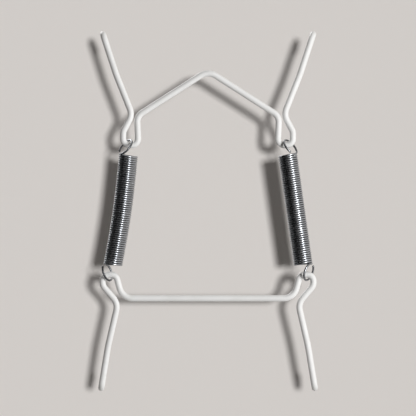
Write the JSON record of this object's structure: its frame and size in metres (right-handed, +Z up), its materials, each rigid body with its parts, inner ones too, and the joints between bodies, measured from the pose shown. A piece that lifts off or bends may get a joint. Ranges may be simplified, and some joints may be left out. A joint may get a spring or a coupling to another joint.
{
  "type": "wire plate hanger",
  "caption": "Spring-loaded wire plate hanger: coated upper and lower wire frames with hooks for the rim of a plate, drawn together by close-wound tension springs and hung from a peaked crest.",
  "frame": {"origin": "underside of the peak of the upper frame, where the wire hangs on its nail, in the middle plane of the wire", "axes": "+Z up along the hanger, +X across it to the right as the wall side is seen, +Y away from the wall to the plate that it holds"},
  "size_m": [0.0638, 0.0174, 0.1046],
  "materials": {
    "coated_wire": "white coating on steel wire, smooth satin gloss",
    "spring_wire": "bright plated drawn spring wire"
  },
  "bodies": {
    "top_frame": {"top_wire": "coated_wire"},
    "spring_tops": {"left_spring": "spring_wire"},
    "spring_bottoms": {"right_spring": "spring_wire"},
    "bottom_frame": {"bottom_wire": "coated_wire"}
  },
  "joints": [
    {"name": "upper_eye_swing", "type": "hinge", "parent": "top_frame", "child": "spring_tops", "pos_m": [0, 0, -0.0199], "axis": [1, 0, 0], "range_deg": [-30, 30]},
    {"name": "spring_stretch", "type": "slide", "parent": "spring_tops", "child": "spring_bottoms", "axis": [0, 0, -1], "range_m": [0, 0.035], "stiffness_N_per_m": 400, "deforming": ["left_spring", "right_spring"]},
    {"name": "lower_eye_swing", "type": "hinge", "parent": "spring_bottoms", "child": "bottom_frame", "pos_m": [0, 0, -0.05741], "axis": [1, 0, 0], "range_deg": [-30, 30]}
  ]
}
